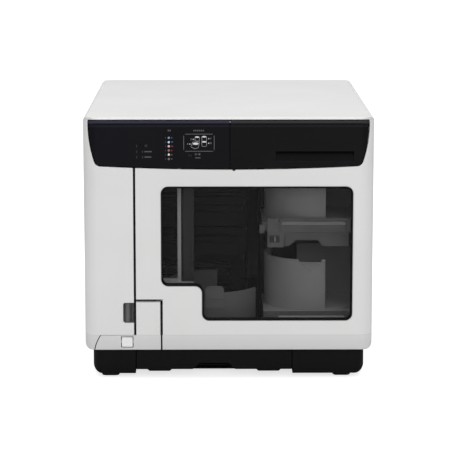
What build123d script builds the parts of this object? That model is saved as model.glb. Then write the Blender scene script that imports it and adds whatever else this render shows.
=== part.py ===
"""Desktop disc label printer with an automatic disc changer, in millimetres.

The origin is the centre of the footprint on the table, +Z is up, the front
faces -Y and +X is to the right of someone who stands in front of it.
"""
from build123d import *
from math import atan2, cos, degrees, radians, sin
import os

os.makedirs("parts", exist_ok=True)

# ---- driving dimensions ----------------------------------------------------
WIDTH, DEPTH, HEIGHT = 377.0, 493.0, 348.0
SIDE, FRONT, BACK = WIDTH / 2, -DEPTH / 2, DEPTH / 2

# white covers
WALL = 3.0                      # moulded wall
CORNER_R = 18.0                 # upright corners, seen from above
SKIRT_Z = 42.0                  # lower edge of the covers
CREASE_Z = 61.7                 # the front leans back below this height
LEAN = 1.2                      # how far it leans back
LOWER_R, UPPER_R, BROW_R = 8.5, 6.0, 2.5
TOP_SEAM_Z = 345.2              # underside of the top cover
REAR_SEAM_Y = 238.5
SEAM = 0.5
SILL_SEAM, SILL_END_GAP = 0.4, 0.8

# black band over the door: control panel at the left, cartridge cover at the right
BAND_HALF, BAND_TOP = 181.8, 345.5
BAND_SPLIT_X = 1.7
BAND_GAP = 1.3
BEAD_Y, BEAD_Z, BEAD_R = -243.0, 341.9, 2.9
BAND_FACE_TOP = 338.4
BAND_PIN_R = 1.2
FLAP_EAR = (165.0, 169.0)       # where the right-hand pin of the flap is held

# disc cover, the door
DOOR_LEFT, COLUMN_RIGHT = -120.8, -123.8
DOOR_BACK = -228.0
HINGE_X, HINGE_Y, HINGE_R = 184.0, -228.0, 4.5
HINGE_PIN_R, FIT = 2.0, 0.06
HINGE_EARS = ((58.0, 62.0), (334.0, 338.0))
WINDOW = [(-88, 258), (161.4, 258), (161.4, 80.6), (-34.8, 80.6), (-34.8, 126.5), (-88, 126.5)]
WINDOW_R = 9.5

# output tray at the foot of the front, with its white handle cover
TRAY_X = (-122.3, 83.9)
TRAY_FRONT, TRAY_BACK = -225.0, -87.0
TRAY_BOTTOM, TRAY_TOP = 10.6, 41.4
HANDLE_GAP = 2.2
RIM_PLAY = 0.4                  # between a dark rim in a gap and the edge it faces
HANDLE_RIGHT, HANDLE_TOP = -88.9, 106.4

# where the discs lie, and the arm that serves them
DISC_R = 60.0
DISC_Y = -153.0
RIGHT_X, LEFT_X = 112.0, -19.0
ARM_X, ARM_Y, ARM_REACH = 46.5, -71.0, 105.0
CUP_R, CUP_WALL = 64.0, 2.5
CUP_HEIGHT, LOW_CUP_HEIGHT = 68.3, 65.8
LOWER_CUP_Z, UPPER_CUP_Z = 87.7, 206.9

# sheet-metal structure
SHEET = 1.5
FRAME_X = 177.8
FRAME_TOP = 342.5
DECK_Z, UPPER_DECK_Z = 43.5, 290.0
FRAME_FRONT, FRAME_BACK = -215.0, 225.0

# drives and printer, side by side with nothing but their own height between them
UNIT_X, UNIT_HALF = -46.7, 73.0
UNIT_FACE = -46.0
DRIVE_HEIGHT, DRIVE_DEPTH = 41.3, 170.0
DRIVE_2_Z, DRIVE_1_Z = 130.0, 172.5
PRINTER_Z, PRINTER_TOP = 216.0, 286.0
SERVED_Y = -119.3               # disc centre of a tray that is fully out
TRAY_TRAVEL = 140.0

PARTS = {}


# ---- small helpers -----------------------------------------------------------
def block(x0, x1, y0, y1, z0, z1):
    """An upright box between two corners."""
    size = Box(x1 - x0, y1 - y0, z1 - z0)
    return Pos((x0 + x1) / 2, (y0 + y1) / 2, (z0 + z1) / 2) * size


def soft_block(x0, x1, y0, y1, z0, z1, radius):
    """A box whose four upright edges are rounded."""
    plan = Pos((x0 + x1) / 2, (y0 + y1) / 2) * RectangleRounded(x1 - x0, y1 - y0, radius)
    return plan_prism(plan, z0, z1)


def rod_z(x, y, z0, z1, radius):
    return Pos(x, y, (z0 + z1) / 2) * Cylinder(radius, z1 - z0)


def rod_x(x0, x1, y, z, radius):
    return Pos((x0 + x1) / 2, y, z) * Rot(0, 90, 0) * Cylinder(radius, x1 - x0)


def rod_y(x, y0, y1, z, radius):
    return Pos(x, (y0 + y1) / 2, z) * Rot(90, 0, 0) * Cylinder(radius, y1 - y0)


def plan_prism(face, z0, z1):
    """A face drawn from above, as a solid between two heights."""
    return extrude(Plane.XY.offset(z0) * face, z1 - z0)


def front_prism(face, y0, y1):
    """A face drawn from the front in x and z, as a solid from y0 back to y1."""
    return extrude(Plane.XZ.offset(-y1) * face, y1 - y0)


def side_prism(face, x0, x1):
    """A face drawn from the right in y and z, as a solid from x0 to x1."""
    return extrude(Plane.YZ.offset(x0) * face, x1 - x0)


def polygon(*points):
    return make_face(Polyline(*points, close=True))


def turned(part, x, y, angle):
    """The part turned about an upright line, by degrees seen from above."""
    return Pos(x, y) * Rot(0, 0, angle) * Pos(-x, -y) * part


# ---- outlines ------------------------------------------------------------------
def hull(inset):
    """The envelope of the covers, drawn in on every side."""
    plan = plan_prism(RectangleRounded(WIDTH - 2 * inset, DEPTH - 2 * inset, CORNER_R - inset), 0, HEIGHT + 1)
    left, right, low, high = -SIDE + inset, SIDE - inset, SKIRT_Z + inset, HEIGHT - inset
    view = polygon((left, low), (right, low), (right, high), (left, high))
    view = fillet(view.vertices().sort_by(Axis.Y)[:2], LOWER_R - inset * 0.8)
    view = fillet(view.vertices().sort_by(Axis.Y)[-2:], UPPER_R - inset * 0.8)
    front, back = FRONT + inset, BACK - inset
    profile = polygon((front + LEAN, low), (front, CREASE_Z), (front, high), (back, high), (back, low))
    brow = [v for v in profile.vertices() if v.Y > HEIGHT - 10 and v.X < 0]
    profile = fillet(brow, max(BROW_R - inset * 0.7, 0.4))
    return plan & front_prism(view, FRONT - 1, BACK + 1) & side_prism(profile, -SIDE - 1, SIDE + 1)


def band_face(grow=0.0):
    """The black band's outline: straight top, drawn-in ends and an arched lower edge."""
    foot_x, foot_z, arch_z = 171.8, 284.6, 280.0
    waist = (180.3, 317.0)
    top = Line((-BAND_HALF, BAND_TOP), (BAND_HALF, BAND_TOP))
    right = ThreePointArc((BAND_HALF, BAND_TOP), waist, (foot_x, foot_z))
    bottom = ThreePointArc((foot_x, foot_z), (0, arch_z), (-foot_x, foot_z))
    left = ThreePointArc((-foot_x, foot_z), (-waist[0], waist[1]), (-BAND_HALF, BAND_TOP))
    face = make_face([top, right, bottom, left])
    face = fillet(face.vertices().sort_by(Axis.Y)[:2], 9.0)
    face = fillet(face.vertices().sort_by(Axis.Y)[-2:], 3.0)
    return offset(face, grow) if grow else face


def window_face(grow=0.0):
    face = fillet(polygon(*WINDOW).vertices(), WINDOW_R)
    return offset(face, grow) if grow else face


def handle_face(grow=0.0):
    """The L of the handle cover: a run of the sill with a curved end, and the block on it."""
    foot, inner = SKIRT_Z - 1, CREASE_Z - 0.3
    end = ThreePointArc((-167.1, inner), (-172.6, 50.6), (-175.1, foot))
    rest = Polyline((-175.1, foot), (HANDLE_RIGHT, foot), (HANDLE_RIGHT, HANDLE_TOP),
                    (DOOR_LEFT, HANDLE_TOP), (DOOR_LEFT, inner), (-167.1, inner))
    face = make_face([end, rest])
    return offset(face, grow) if grow else face


OUTER = hull(0)
INNER = hull(WALL)
SHELL = OUTER - INNER


# ---- white covers -----------------------------------------------------------------
def side_region(sign, y0):
    return block(min(sign * 150, sign * 190), max(sign * 150, sign * 190), y0, REAR_SEAM_Y - SEAM,
                 SKIRT_Z - 1, TOP_SEAM_Z - 0.2)


def inner_flange_cut():
    """Everything of the skirt's turned-in floor except a narrow rim."""
    return block(-178, 178, -236, 236, SKIRT_Z - 1, SKIRT_Z + 4)


def louvres(x_side, z0, rows):
    """Cooling slots through a side wall, each 70 mm long."""
    slots = [block(x_side - 5, x_side + 5, 120, 190, z0 + 9 * i, z0 + 9 * i + 3.2) for i in range(rows)]
    return slots


def make_left_cover():
    lever_x, lever_z = (-137.9, COLUMN_RIGHT + 1), (77.9, 104.9)
    pocket_back = -233.5
    column = block(-190, COLUMN_RIGHT, FRONT - 1, -224.99, SKIRT_Z - 1, TOP_SEAM_Z - 0.2)
    cover = SHELL & (column + side_region(-1, -225))
    cover -= front_prism(band_face(), FRONT - 1, -220)
    sill = handle_face(SILL_SEAM)
    cover -= front_prism(sill + Pos(-SILL_END_GAP, 0) * sill, FRONT - 1, -220)
    cover -= inner_flange_cut()
    # the return along the gap to the door, and the boxed recess of the lock lever
    cover += block(COLUMN_RIGHT - 2.5, COLUMN_RIGHT, -244, -229, 64, 278)
    cover += block(lever_x[0] - 1.5, COLUMN_RIGHT, -244, pocket_back, lever_z[0] - 1.5, lever_z[1] + 1.5)
    recess = Pos((lever_x[0] + lever_x[1]) / 2, (lever_z[0] + lever_z[1]) / 2)
    recess = recess * RectangleRounded(lever_x[1] - lever_x[0], lever_z[1] - lever_z[0], 3)
    cover -= front_prism(recess, FRONT - 1, pocket_back - 1.5)
    cover -= block(COLUMN_RIGHT - 3, COLUMN_RIGHT + 1, FRONT - 1, pocket_back - 1.5, lever_z[0], lever_z[1])
    cover -= rod_z(*LEVER_AXIS, lever_z[0] - 2, lever_z[1] + 2, 1.4 + FIT)
    for slot in louvres(-SIDE, 120, 8):
        cover -= slot
    return cover


def make_right_cover():
    cover = SHELL & side_region(1, HINGE_Y)
    cover -= rod_z(HINGE_X, HINGE_Y, 0, 400, HINGE_R + 0.5)
    cover -= block(150, 200, HINGE_Y - 1, HINGE_Y + HINGE_R + 1.2, 0, 400)
    cover -= inner_flange_cut()
    for slot in louvres(SIDE, 120, 8):
        cover -= slot
    return cover


def make_top_cover():
    cover = SHELL & block(-190, 190, FRONT - 1, BACK + 1, TOP_SEAM_Z, HEIGHT + 1)
    inset, wall = WALL + 4, 1.6
    ring = RectangleRounded(WIDTH - 2 * inset, DEPTH - 2 * inset, CORNER_R - inset)
    ring -= RectangleRounded(WIDTH - 2 * (inset + wall), DEPTH - 2 * (inset + wall), CORNER_R - inset - wall)
    rim = plan_prism(ring, 339, TOP_SEAM_Z + 0.3) & block(-190, 190, -205, 225, 330, 350)
    # pads that rest on the side frames
    for x in (-173.5, 173.5):
        for y in (-60, 60, 190):
            rim += block(x - 3, x + 3, y - 5, y + 5, FRAME_TOP, TOP_SEAM_Z + 0.3)
    return cover + rim


def make_rear_cover():
    fan_x, fan_z, fan_r = 90, 200, 37
    cover = SHELL & block(-190, 190, REAR_SEAM_Y, BACK + 1, SKIRT_Z - 1, TOP_SEAM_Z - 0.2)
    cover -= block(-178, 178, 230, 243, SKIRT_Z - 1, SKIRT_Z + 4)
    slots = [front_prism(Pos(fan_x, fan_z + dz) * SlotOverall(2 * (fan_r ** 2 - dz ** 2) ** 0.5, 4), 235, 250)
             for dz in range(-32, 33, 8)]
    for row in range(10):
        for x in (-86, -30):
            slots.append(front_prism(Pos(x, 150 + 9 * row) * SlotOverall(46, 3.5), 235, 250))
    slots.append(block(-144.3, -115.7, 235, 250, 61.7, 84.3))
    slots.append(block(-75.3, -60.7, 235, 250, 65.7, 78.3))
    for slot in slots:
        cover -= slot
    return cover


# ---- the black band ------------------------------------------------------------------
def band_part(x0, x1):
    """One half of the band: hollow plate, a groove, and a round bead along its top."""
    face = band_face(-BAND_GAP)
    solid = front_prism(face, FRONT, -236) & block(x0, x1, FRONT, -236, 270, BAND_FACE_TOP)
    hollow = front_prism(offset(face, -2.2), FRONT + 3, -235)
    hollow = hollow & block(x0 + 2.2, x1 - 2.2, FRONT, -235, 270, BAND_FACE_TOP - 2.2)
    neck = front_prism(face, -244.6, -241.5) & block(x0, x1, -250, -230, BAND_FACE_TOP - 2, BEAD_Z)
    bead = rod_x(x0, x1, BEAD_Y, BEAD_Z, BEAD_R) & front_prism(face, FRONT, -230)
    return ((solid - hollow) + neck + bead) & hull(0.5)


def make_control_panel():
    holes = [rod_x(-6, 5, BEAD_Y, BEAD_Z, BAND_PIN_R)]
    holes += [front_prism(Pos(x, z) * lamp_face(x, 0.05), -248, -240) for x, z in STATUS_LAMPS + INK_LAMPS]
    holes.append(rod_y(POWER_XZ[0], -248, -240, POWER_XZ[1], POWER_R + 0.25))
    holes.append(front_prism(mode_face(0.25), -248, -240))
    return mirror(band_part(0.4 - BAND_SPLIT_X, 190), about=Plane.YZ) - holes


# lamps and buttons of the control panel, as x and z
INK_LAMPS = [(-77.2, z) for z in (321.7, 316.0, 310.7, 305.3, 299.9, 294.2)]
STATUS_LAMPS = [(-118.6, z) for z in (311.1, 303.6, 296.6)]
POWER_XZ, POWER_R = (-111.7, 311.1), 2.6
MODE_XZ, MODE_SIZE = (-49.9, 298.9), (7.0, 3.4)


def lamp_face(x, grow):
    """Ink lamps are round; status lamps are short upright bars."""
    if x > -100:
        return Circle(1.4 + grow)
    return Rectangle(1.2 + 2 * grow, 3.2 + 2 * grow)


def make_lamps():
    lamps = [front_prism(Pos(x, z) * lamp_face(x, 0), FRONT + 0.4, -242) for x, z in STATUS_LAMPS + INK_LAMPS]
    return Compound(children=lamps)


def make_power_button():
    x, z = POWER_XZ
    cap = rod_y(x, FRONT + 0.3, -241, z, POWER_R)
    return cap + rod_y(x, -242.2, -239.8, z, POWER_R + 1.2)


def mode_face(grow):
    width, height = MODE_SIZE
    return Pos(*MODE_XZ) * RectangleRounded(width + 2 * grow, height + 2 * grow, height / 2 + grow - 0.1)


def make_mode_button():
    return front_prism(mode_face(0), FRONT + 0.2, -241) + front_prism(mode_face(1), -242.2, -239.8)


def make_cartridge_cover():
    flap = band_part(BAND_SPLIT_X + 0.4, 190)
    # the finger pull: a wedge that is deepest under its upper lip
    x0, x1, z0, z1 = 61.0, 161.6, 287.6, 303.8
    deep, backing = 6.5, 1.8
    pull = side_prism(polygon((FRONT - 1, z0), (FRONT + deep, z1), (FRONT - 1, z1)), x0, x1)
    walls = side_prism(polygon((FRONT + 2, z0 - backing), (FRONT + 2, z1 + backing),
                               (FRONT + deep + backing, z1 + backing), (FRONT + deep + backing, z1 - 2)),
                       x0 - backing, x1 + backing)
    flap = flap + walls - pull
    flap -= rod_x(0, 9, BEAD_Y, BEAD_Z, BAND_PIN_R + FIT)
    flap -= rod_x(FLAP_EAR[0] - 7, FLAP_EAR[1] + 7, BEAD_Y, BEAD_Z, BAND_PIN_R + FIT)
    # room for the ear that holds the right-hand pin, open to the rear and the top
    ear_room = rod_x(FLAP_EAR[0] - 0.4, FLAP_EAR[1] + 0.4, BEAD_Y, BEAD_Z, 2.6)
    ear_room += side_prism(polygon((BEAD_Y, BEAD_Z - 2.9), (-229, BEAD_Z - 8), (-229, 350), (BEAD_Y, 350)),
                           FLAP_EAR[0] - 0.4, FLAP_EAR[1] + 0.4)
    return flap - ear_room


def make_cartridge_cover_pins():
    left = rod_x(-5, 7.5, BEAD_Y, BEAD_Z, BAND_PIN_R)
    right = rod_x(FLAP_EAR[0] - 6, FLAP_EAR[1] + 6, BEAD_Y, BEAD_Z, BAND_PIN_R)
    return Compound(children=[left, right])


# ---- ink ------------------------------------------------------------------------------
BAY_X, BAY_Y, BAY_Z = (8.0, 174.0), (-233.0, -140.0), (291.5, 342.0)
INK_PITCH, INK_SIZE = 27.0, (23.0, 76.0, 42.0)


def ink_slot_x(index):
    return BAY_X[0] + 3.5 + INK_PITCH * index


def make_cartridge_bay():
    bay = block(*BAY_X, *BAY_Y, *BAY_Z)
    for i in range(6):
        x = ink_slot_x(i)
        bay -= block(x - 0.4, x + INK_SIZE[0] + 0.4, BAY_Y[0] - 1, BAY_Y[1] - 8, 295.6, 338.6)
    arm = side_prism(polygon((BEAD_Y, BEAD_Z - 2.1), (-232, BEAD_Z - 5.5), (-232, BEAD_Z - 1.5),
                             (BEAD_Y, BEAD_Z + 0.2)), *FLAP_EAR)
    ear = rod_x(*FLAP_EAR, BEAD_Y, BEAD_Z, 2.2) + arm
    return bay + ear - rod_x(FLAP_EAR[0] - 1, FLAP_EAR[1] + 1, BEAD_Y, BEAD_Z, BAND_PIN_R)


def make_ink_cartridges():
    width, depth, height = INK_SIZE
    tanks = []
    for i in range(6):
        x = ink_slot_x(i)
        tank = block(x, x + width, -231, -231 + depth, 296, 296 + height)
        tank = fillet(tank.edges().filter_by(Axis.Y), 2.0)
        grip = block(x + 4, x + width - 4, -232, -227, 303, 305) + block(x + 4, x + width - 4, -232, -227, 328, 330)
        dent = block(x + 4, x + width - 4, -232, -228.5, 305, 328)
        tanks.append(tank + grip - dent)
    return Compound(children=tanks)


# ---- the door -----------------------------------------------------------------------------
def hinge_notch(z0, z1):
    """Room round a hinge ear, open inwards and to the rear, under a 1 mm skin."""
    room = rod_z(HINGE_X, HINGE_Y, z0, z1, HINGE_R - 0.9)
    room += block(170, HINGE_X, HINGE_Y - 4.2, HINGE_Y + 6, z0, z1)
    return room + block(HINGE_X - 6, HINGE_X + HINGE_R - 0.9, HINGE_Y, HINGE_Y + 6, z0, z1)


def make_disc_cover():
    region = block(DOOR_LEFT, 190, FRONT - 1, DOOR_BACK, SKIRT_Z - 1, TOP_SEAM_Z - 0.2)
    door = SHELL & region
    door -= front_prism(band_face(), FRONT - 1, -220)
    door -= front_prism(handle_face(HANDLE_GAP), FRONT - 1, -220)
    window = window_face()
    door -= front_prism(window, FRONT - 1, -240)
    door -= extrude(Plane.XZ.offset(-FRONT) * offset(window, 1.0), -1.0, taper=45)
    # stiffening returns: the free edge, and round the handle block
    door += block(DOOR_LEFT, DOOR_LEFT + 2.5, -244, -229, HANDLE_TOP + HANDLE_GAP, 279)
    door += block(HANDLE_RIGHT + HANDLE_GAP, HANDLE_RIGHT + 4.6, -244, -231, 46, HANDLE_TOP + 4.6)
    door += block(DOOR_LEFT, HANDLE_RIGHT + 4.6, -244, -231, HANDLE_TOP + HANDLE_GAP, HANDLE_TOP + 4.6)
    door -= block(-178, 178, -234, -220, SKIRT_Z - 1, SKIRT_Z + 4)
    # hinge bead down the rear edge, bored for the pins and notched for the ears
    door += rod_z(HINGE_X, HINGE_Y, 50, 344, HINGE_R) & hull(0.01)
    for z0, z1 in HINGE_EARS:
        door -= hinge_notch(z0 - 0.4, z1 + 0.4)
        door -= rod_z(HINGE_X, HINGE_Y, z0 - 10, z1 + 8, HINGE_PIN_R + FIT)
    return door


def make_door_window():
    return front_prism(window_face(-0.15), FRONT + 0.4, FRONT + WALL)


def make_door_inner_frame():
    plate = front_prism(window_face(8) - window_face(-2.6), FRONT + WALL, FRONT + WALL + 2.4)
    lip = front_prism(window_face(-1.0) - window_face(-2.6), FRONT + WALL, FRONT + WALL + 7)
    # the dark strip along the door's free edge, which closes the gap to the fixed column
    strip = block(COLUMN_RIGHT + RIM_PLAY, DOOR_LEFT - 0.1, FRONT + 2, -231, HANDLE_TOP + HANDLE_GAP + RIM_PLAY, 278)
    return Compound(children=[plate + lip, strip])


def make_door_hinge_pins():
    pins = [rod_z(HINGE_X, HINGE_Y, z0 - 8, z1 + 6, HINGE_PIN_R) for z0, z1 in HINGE_EARS]
    return Compound(children=pins)


# ---- base ------------------------------------------------------------------------------------
BASE_HALF, BASE_BACK, BASE_LOW, BASE_R = 179.0, 238.0, 5.4, 12.0
PAN_WALL, PAN_FLOOR = 2.5, 2.5


def make_base_pan():
    def body(inset, top):
        depth = BASE_BACK - TRAY_FRONT
        plan = Pos(0, (BASE_BACK + TRAY_FRONT) / 2)
        plan = plan * RectangleRounded(2 * (BASE_HALF - inset), depth - 2 * inset, BASE_R - inset)
        half, low = BASE_HALF - inset, BASE_LOW + inset
        view = polygon((-half, low), (half, low), (half, top), (-half, top))
        view = fillet(view.vertices().sort_by(Axis.Y)[:2], 13 - inset)
        return plan_prism(plan, low, top) & front_prism(view, TRAY_FRONT - 1, BASE_BACK + 1)

    pan = body(0, SKIRT_Z) - body(PAN_WALL, SKIRT_Z + 1)
    # the mouth of the output tray, its floor set back, and the walls beside the tray
    left, right = TRAY_X[0] - 0.5, TRAY_X[1] + 0.5
    pan -= block(left, right, TRAY_FRONT - 1, -200, 0, 60)
    for x in (left - 2.2, right):
        pan += block(x, x + 2.2, TRAY_FRONT + 0.6, -80, BASE_LOW + 2, SKIRT_Z)
    # posts that carry the deck, and the seat of the arm column
    for x in (-165, 165):
        for y in (-195, -20, 205):
            pan += rod_z(x, y, BASE_LOW + 1, DECK_Z, 6)
    pan += rod_z(ARM_X, ARM_Y, BASE_LOW + 1, 20, 11) - rod_z(ARM_X, ARM_Y, 9, 21, 6.0)
    for row in range(3):
        pan -= block(-60, 60, 60 + 40 * row, 68 + 40 * row, 0, 12)
    return pan


def make_feet():
    feet = []
    for x in (-156.5, 150.0):
        for y in (-204.0, 204.0):
            foot = soft_block(x - 11.6, x + 11.6, y - 11.6, y + 11.6, 0, BASE_LOW, 6)
            foot = fillet(foot.edges().group_by(Axis.Z)[0], 1.2)
            feet.append(foot)
    return Compound(children=feet)


# ---- output tray ---------------------------------------------------------------------------------
def make_output_tray():
    left, right = TRAY_X[0] + 0.6, TRAY_X[1] - 0.6
    middle = LEFT_X - 0.2
    bar = block(left, right, TRAY_FRONT, TRAY_FRONT + 6, TRAY_BOTTOM, TRAY_TOP)
    bar = chamfer(bar.edges().filter_by(Axis.X).group_by(Axis.Z)[0], 0.8)
    for x0, x1 in ((middle - 88, middle - 56), (middle + 56, middle + 88)):
        pad = polygon((x0, TRAY_BOTTOM), (x0 + 2.5, 8.3), (x1 - 2.5, 8.3), (x1, TRAY_BOTTOM))
        bar += front_prism(pad, TRAY_FRONT + 0.6, TRAY_FRONT + 6)
    tub = block(left + 0.4, right - 0.4, TRAY_FRONT + 5, TRAY_BACK, TRAY_BOTTOM, 40)
    tub -= block(left + 2.6, right - 2.6, TRAY_FRONT + 6, TRAY_BACK - 2.2, TRAY_BOTTOM + 2, 41)
    # the round well, open at the front and the rear for fingers
    well = rod_z(LEFT_X, DISC_Y, TRAY_BOTTOM + 1, 38, DISC_R + 3.6)
    well -= rod_z(LEFT_X, DISC_Y, 0, 60, DISC_R + 1.4)
    well -= block(LEFT_X - 26, LEFT_X + 26, -250, -60, TRAY_BOTTOM + 2.5, 60)
    spindle = rod_z(LEFT_X, DISC_Y, TRAY_BOTTOM + 1, TRAY_BOTTOM + 4, 20)
    tray = bar + tub + (well & block(left, right, TRAY_FRONT + 6, TRAY_BACK - 1, 0, 60)) + spindle
    # finger arch in the lower edge
    arch = polygon((middle - 29, 10), (middle - 25.5, 12.6), (middle - 20, 19), (middle + 20, 19),
                   (middle + 25.5, 12.6), (middle + 29, 10))
    tray -= front_prism(arch, TRAY_FRONT - 1, TRAY_FRONT + 22)
    roof = front_prism(arch, TRAY_FRONT + 5, TRAY_FRONT + 23)
    hood = block(middle - 31, middle + 31, TRAY_FRONT + 5, TRAY_FRONT + 23, TRAY_BOTTOM, 21) - roof
    tray += hood - front_prism(arch, TRAY_FRONT - 1, TRAY_FRONT + 21)
    # runners under the tub and the upright tongue that carries the handle cover
    for x in (left + 8, right - 14):
        tray += block(x, x + 6, -198, TRAY_BACK - 4, 8.0, TRAY_BOTTOM + 1)
    tongue = block(-119, -91, TRAY_FRONT, TRAY_FRONT + 2.6, TRAY_TOP - 1, 61)
    return tray + tongue + handle_carrier()


def handle_carrier():
    """The dark plate behind the white block; its rims stand in the gaps and stop short of the corner."""
    left, right = COLUMN_RIGHT + RIM_PLAY, HANDLE_RIGHT + HANDLE_GAP - RIM_PLAY
    top, back, rim_front = HANDLE_TOP + HANDLE_GAP - RIM_PLAY, -228.8, FRONT + 3.4
    carrier = block(left, right, back - 2, back, 58.2, top)
    carrier += block(-119, -91, back - 2, TRAY_FRONT + 2.6, 58.2, 61)
    carrier += block(left, DOOR_LEFT - 0.1, rim_front, back, 62.5, top)
    carrier += block(left, right - 8, rim_front, back, HANDLE_TOP + 0.1, top)
    return carrier + block(HANDLE_RIGHT + 0.1, right, rim_front, back, SKIRT_Z + 0.2, top - 8)


def make_tray_handle_cover():
    cover = SHELL & front_prism(handle_face(), FRONT - 1, -231)
    # returns down both sides of the block, and ribs back to the tongue
    cover += block(DOOR_LEFT, DOOR_LEFT + 2.2, -244, -231, 64, HANDLE_TOP)
    cover += block(HANDLE_RIGHT - 2.2, HANDLE_RIGHT, -244, -231, 45, HANDLE_TOP)
    cover += block(DOOR_LEFT, HANDLE_RIGHT, -244, -231, HANDLE_TOP - 2.2, HANDLE_TOP)
    for x in (-117, -95):
        cover += block(x, x + 2, -244.2, TRAY_FRONT, 45.5, 58)
    x0, x1, z0, z1 = RELEASE
    cover -= front_prism(Pos((x0 + x1) / 2, (z0 + z1) / 2) * Rectangle(x1 - x0 + 2.0, z1 - z0 + 2.0), FRONT - 1, -230)
    return cover


RELEASE = (-139.9, -125.8, 46.0, 58.9)


def make_tray_release():
    x0, x1, z0, z1 = RELEASE
    cap = block(x0, x1, FRONT + 0.5, -239, z0, z1)
    cap = fillet(cap.edges().filter_by(Axis.Y), 0.8)
    cap -= block(x0 + 1.6, x1 - 1.6, -243.4, -238, z0 + 1.6, z1 - 1.6)
    # two hooks that spread behind the cover and keep the cap in
    hooks = block(x0 - 1.8, x0 + 1.6, -242.2, -239, z0 + 4, z1 - 4)
    return cap + hooks + block(x1 - 1.6, x1 + 1.8, -242.2, -239, z0 + 4, z1 - 4)


LEVER_AXIS = (-132.6, -239.6)


def make_lock_lever():
    """A fingertip lever: round grip, a groove, and a flat strip along its free edge."""
    x, y = LEVER_AXIS
    z0, z1 = 79.0, 103.9
    grip = rod_z(x, y, z0, z1, 4.3)
    grip += block(x, x + 4.6, y - 4.3, y - 1.2, z0, z1)
    strip = block(x + 5.6, COLUMN_RIGHT - 0.3, y - 3.6, y - 1.0, z0, z1)
    web = block(x + 4, x + 6, y - 2.2, y - 1.0, z0, z1)
    nub = block(x + 1.5, x + 4.5, y - 5.2, y - 4, z0, z0 + 3)
    pins = rod_z(x, y, z0 - 2.0, z1 + 2.0, 1.4)
    return grip + strip + web + nub + pins


# ---- disc cups -------------------------------------------------------------------------------------
def sector(cx, cy, a0, a1, z0, z1, reach=90.0):
    """A wedge of space about an upright line, from angle a0 to a1."""
    steps = max(2, int((a1 - a0) / 40) + 1)
    rim = [(cx + reach * cos(radians(a0 + (a1 - a0) * i / steps)),
            cy + reach * sin(radians(a0 + (a1 - a0) * i / steps))) for i in range(steps + 1)]
    return plan_prism(polygon((cx, cy), *rim), z0, z1)


def cup(cx, base_z, gaps, height=CUP_HEIGHT, rear_rise=0.0):
    """An open cup for fifty discs; gaps are the angles left open for hands and for the arm."""
    cy, top = DISC_Y, base_z + height + rear_rise
    inner = CUP_R - CUP_WALL
    wall = rod_z(cx, cy, base_z, top, CUP_R) - rod_z(cx, cy, base_z - 1, top + 1, inner)
    rim = rod_z(cx, cy, base_z + height - 3, base_z + height, CUP_R + 0.4)
    rim -= rod_z(cx, cy, base_z, top + 1, inner)
    wall += rim
    if rear_rise:
        front_half = side_prism(polygon((cy - 80, top - rear_rise), (cy, top - rear_rise * 0.5), (cy + 80, top),
                                        (cy + 80, top + 9), (cy - 80, top + 9)), cx - 80, cx + 80)
        wall -= front_half
    for a0, a1 in gaps:
        wall -= sector(cx, cy, a0, a1, base_z + 2.5, top + 5)
    floor = rod_z(cx, cy, base_z, base_z + 2.5, CUP_R) - rod_z(cx, cy, base_z - 1, base_z + 4, 17)
    spigot = rod_z(cx, cy, base_z - 3.4, base_z, DISC_R) - rod_z(cx, cy, base_z - 4, base_z + 1, DISC_R - 2.5)
    return wall + floor + spigot


def make_right_cup(base_z):
    body = cup(RIGHT_X, base_z, [(-76, -15), (106, 152)])
    # the fingertip dip in the front rim, with a pointed hollow below it
    x0, x1, top = 92.7, 122.2, base_z + CUP_HEIGHT
    body -= block(x0, x1, DISC_Y - CUP_R - 2, DISC_Y - 40, top - 3.3, top + 1)
    hollow = polygon((x0 + 1.5, top - 5.0), (x1 - 1.5, top - 5.0), ((x0 + x1) / 2, top - 15.5))
    ring = rod_z(RIGHT_X, DISC_Y, base_z, top, CUP_R + 2) - rod_z(RIGHT_X, DISC_Y, base_z - 1, top + 1, CUP_R - 1.1)
    return body - (front_prism(hollow, DISC_Y - CUP_R - 3, DISC_Y - 30) & ring)


def make_stacker_3():
    base = DECK_Z + SHEET
    body = cup(LEFT_X, base, [(-30, 86)], LOW_CUP_HEIGHT, rear_rise=9.0)
    # the grip on the front wall, with a finger ledge across it
    grip = block(LEFT_X - 12, LEFT_X + 13, -219.5, -216, 92, 121)
    grip = fillet(grip.edges().filter_by(Axis.Y).group_by(Axis.Z)[-1], 6)
    ledge = block(LEFT_X - 9, LEFT_X + 12, -221, -219, 104, 106.5)
    body += grip & block(-100, 60, -230, -200, 80, 121.1)
    return body + ledge


# ---- structure inside the bay -------------------------------------------------------------------
def make_stacker_base():
    x0, x1, y0, y1 = 46.0, 177.8, -220.0, -88.0
    top = LOWER_CUP_Z
    deck = DECK_Z + SHEET
    base = soft_block(x0, x1, y0, y1, deck, top, 5)
    base -= soft_block(x0 + 2.5, x1 - 2.5, y0 + 6, y1 - 2.5, deck - 1, top - 3, 3)
    base -= rod_z(RIGHT_X, DISC_Y, 0, 200, DISC_R + 0.5)
    base -= rod_z(ARM_X, ARM_Y, 0, 200, 33)
    # the front: an upright band, a bevelled nose with slanted ends, and the foot cut back below
    nose = side_prism(polygon((y0 + 4, top - 4.4), (y0 - 0.4, top - 8.4), (y0 - 0.4, top - 13), (y0 + 4, top - 13)),
                      65.8, 153.0)
    base -= block(x0 - 1, x1 + 1, y0 - 1, y0 + 2, deck - 1, top + 1)
    for x, turn in ((65.8, 1), (153.0, -1)):
        nose -= front_prism(polygon((x - turn, top - 4), (x + 3 * turn, top - 4), (x - turn, top - 9)), y0 - 2, y0 + 5)
    base += nose
    base += rod_y(158.6, y0, y0 + 4, top - 3.6, 3.2)
    return base


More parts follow.
